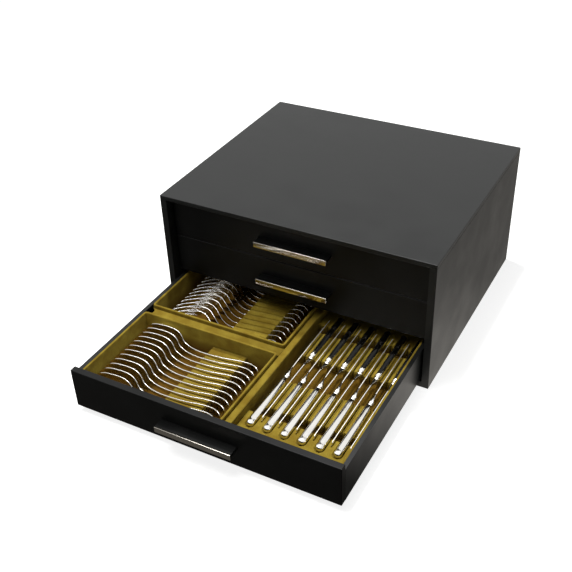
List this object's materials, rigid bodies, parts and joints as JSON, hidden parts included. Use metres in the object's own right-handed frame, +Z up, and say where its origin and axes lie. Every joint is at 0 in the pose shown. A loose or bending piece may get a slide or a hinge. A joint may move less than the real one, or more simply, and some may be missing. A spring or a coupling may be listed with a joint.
{
  "type": "silverware chest",
  "caption": "Lacquered table chest with full-width drawers on angle runners and metal-edged pulls; the lowest drawer stands open over velvet-lined trays with spoons, forks and knives on edge.",
  "frame": {"origin": "centre of the cabinet's footprint on the surface it stands on", "axes": "+X to the right as seen from the front, +Y to the back, +Z up"},
  "size_m": [0.44, 0.6563, 0.2135],
  "materials": {
    "black_lacquer": "charcoal satin lacquer on board",
    "black_stained_board": "black stained board, matte",
    "olive_velvet": "olive-gold velvet over board",
    "silverware": "polished silver",
    "polished_strip": "polished metal strip",
    "steel_screw": "plain zinc-plated steel",
    "nylon_runner": "black nylon",
    "black_felt": "black wool felt",
    "beech_dowel": "fluted beech"
  },
  "bodies": {
    "cabinet": {"back_pads": "black_felt", "back_panel": "black_stained_board", "base_board": "black_lacquer", "bottom_runners": "nylon_runner", "carcase_dowels": "beech_dowel", "left_side_panel": "black_lacquer", "lower_divider": "black_stained_board", "middle_runners": "nylon_runner", "right_side_panel": "black_lacquer", "stop_pins": "steel_screw", "top_board": "black_lacquer", "top_runners": "nylon_runner", "upper_divider": "black_stained_board"},
    "bottom_drawer": {"bottom_drawer_back": "black_lacquer", "bottom_drawer_floor": "black_lacquer", "bottom_drawer_front": "black_lacquer", "bottom_drawer_left_side": "black_lacquer", "bottom_drawer_right_side": "black_lacquer", "bottom_pull_ledge": "black_lacquer", "bottom_pull_screws": "steel_screw", "bottom_pull_strip": "polished_strip", "fork_head_rest": "olive_velvet", "fork_rack": "olive_velvet", "fork_tray": "olive_velvet", "forks": "silverware", "front_knife_rack": "olive_velvet", "front_knives": "silverware", "front_pocket_plate": "olive_velvet", "knife_bay_lip": "olive_velvet", "knife_bay_wall": "olive_velvet", "knife_bed": "olive_velvet", "rear_knife_rack": "olive_velvet", "rear_knives": "silverware", "rear_pocket_plate": "olive_velvet", "spoon_rack": "olive_velvet", "spoon_tray": "olive_velvet", "spoons": "silverware", "tray_cross_bar": "olive_velvet"},
    "middle_drawer": {"middle_drawer_back": "black_lacquer", "middle_drawer_floor": "black_lacquer", "middle_drawer_front": "black_lacquer", "middle_drawer_left_side": "black_lacquer", "middle_drawer_right_side": "black_lacquer", "middle_pull_ledge": "black_lacquer", "middle_pull_screws": "steel_screw", "middle_pull_strip": "polished_strip", "middle_tray": "olive_velvet"},
    "top_drawer": {"top_drawer_back": "black_lacquer", "top_drawer_floor": "black_lacquer", "top_drawer_front": "black_lacquer", "top_drawer_left_side": "black_lacquer", "top_drawer_right_side": "black_lacquer", "top_pull_ledge": "black_lacquer", "top_pull_screws": "steel_screw", "top_pull_strip": "polished_strip", "top_tray": "olive_velvet"}
  },
  "joints": [
    {"name": "bottom_drawer_slide", "type": "slide", "parent": "cabinet", "child": "bottom_drawer", "axis": [0, -1, 0], "range_m": [-0.275, 0.005]},
    {"name": "middle_drawer_slide", "type": "slide", "parent": "cabinet", "child": "middle_drawer", "axis": [0, -1, 0], "range_m": [0, 0.28]},
    {"name": "top_drawer_slide", "type": "slide", "parent": "cabinet", "child": "top_drawer", "axis": [0, -1, 0], "range_m": [0, 0.28]}
  ]
}
